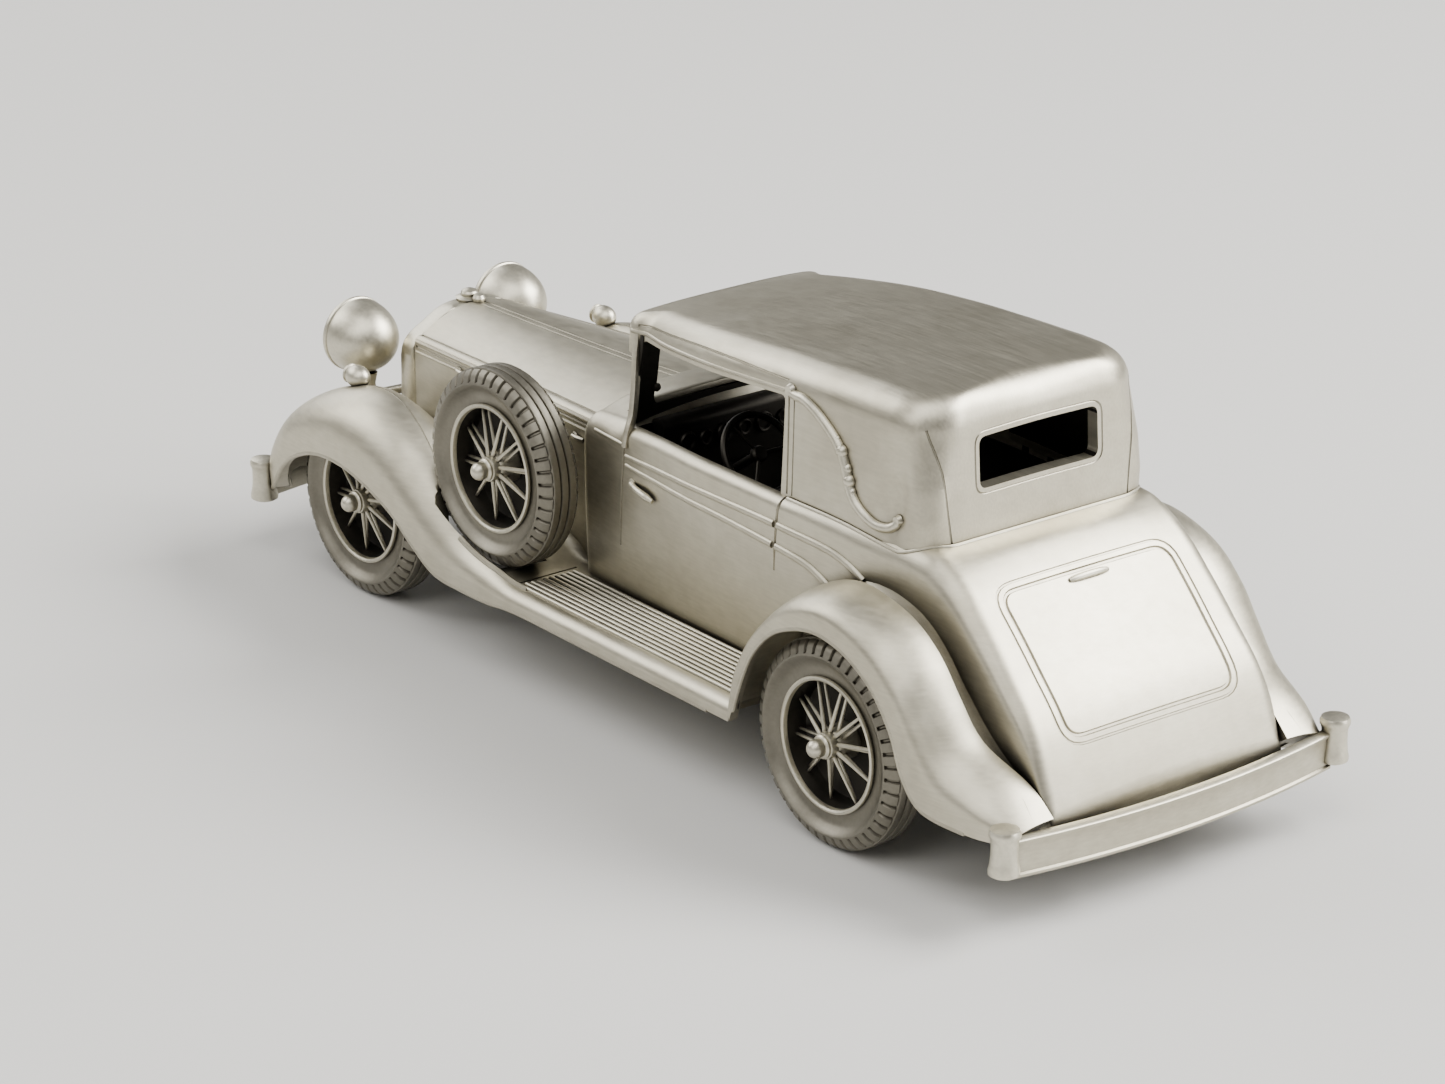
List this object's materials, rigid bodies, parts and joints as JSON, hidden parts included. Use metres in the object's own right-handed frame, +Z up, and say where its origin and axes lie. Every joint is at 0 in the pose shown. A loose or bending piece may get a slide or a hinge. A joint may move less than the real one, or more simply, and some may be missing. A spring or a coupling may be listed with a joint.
{
  "type": "scale model car",
  "caption": "Cast pewter scale model of a 1930s two-door touring car with closed roof, long wings, wire wheels that roll and side-mounted spare wheels.",
  "frame": {"origin": "on the ground, under the middle of the overall length and width", "axes": "+X towards the front of the car, +Y to its left, +Z up"},
  "size_m": [0.1086, 0.0406, 0.0378],
  "materials": {
    "pewter": "satin brushed pewter with dark patina in the recesses",
    "bright_pewter": "polished satin pewter",
    "dark_pewter": "darkened matt pewter",
    "tyre_pewter": "matt grey pewter",
    "steel": "plain bright steel"
  },
  "bodies": {
    "root": {"base_plate": "dark_pewter", "base_screws": "steel", "body_shell": "pewter", "bonnet": "pewter", "roof": "pewter", "wing_left": "pewter", "wing_right": "pewter", "radiator_shell": "pewter", "radiator_core": "dark_pewter", "radiator_cap": "bright_pewter", "windscreen_frame": "pewter", "dashboard": "dark_pewter", "steering_column": "dark_pewter", "steering_wheel": "dark_pewter", "front_seats": "dark_pewter", "rear_seat": "dark_pewter", "headlamp_left": "bright_pewter", "headlamp_right": "bright_pewter", "headlamp_lens_left": "bright_pewter", "headlamp_lens_right": "bright_pewter", "headlamp_bar": "pewter", "sidelamp_left": "bright_pewter", "sidelamp_right": "bright_pewter", "front_bumper": "pewter", "front_overriders": "pewter", "front_bumper_irons": "dark_pewter", "rear_bumper": "pewter", "rear_overriders": "pewter", "rear_bumper_irons": "dark_pewter", "landau_iron_left": "bright_pewter", "landau_iron_right": "bright_pewter", "door_handle_left": "bright_pewter", "door_handle_right": "bright_pewter", "boot_handle": "bright_pewter", "bonnet_catches": "bright_pewter", "spare_tyre_left": "tyre_pewter", "spare_wheel_left": "bright_pewter", "spare_cap_left": "bright_pewter", "spare_tyre_right": "tyre_pewter", "spare_wheel_right": "bright_pewter", "spare_cap_right": "bright_pewter"},
    "front_wheels": {"front_axle": "steel", "tyre_front_left": "tyre_pewter", "wheel_front_left": "bright_pewter", "cap_front_left": "bright_pewter", "tyre_front_right": "tyre_pewter", "wheel_front_right": "bright_pewter", "cap_front_right": "bright_pewter"},
    "rear_wheels": {"rear_axle": "steel", "tyre_rear_left": "tyre_pewter", "wheel_rear_left": "bright_pewter", "cap_rear_left": "bright_pewter", "tyre_rear_right": "tyre_pewter", "wheel_rear_right": "bright_pewter", "cap_rear_right": "bright_pewter"}
  },
  "joints": [
    {"name": "front_axle_spin", "type": "hinge", "parent": "root", "child": "front_wheels", "pos_m": [0.0381, 0, 0.009], "axis": [0, 1, 0], "continuous": true},
    {"name": "rear_axle_spin", "type": "hinge", "parent": "root", "child": "rear_wheels", "pos_m": [-0.0305, 0, 0.009], "axis": [0, 1, 0], "continuous": true}
  ]
}
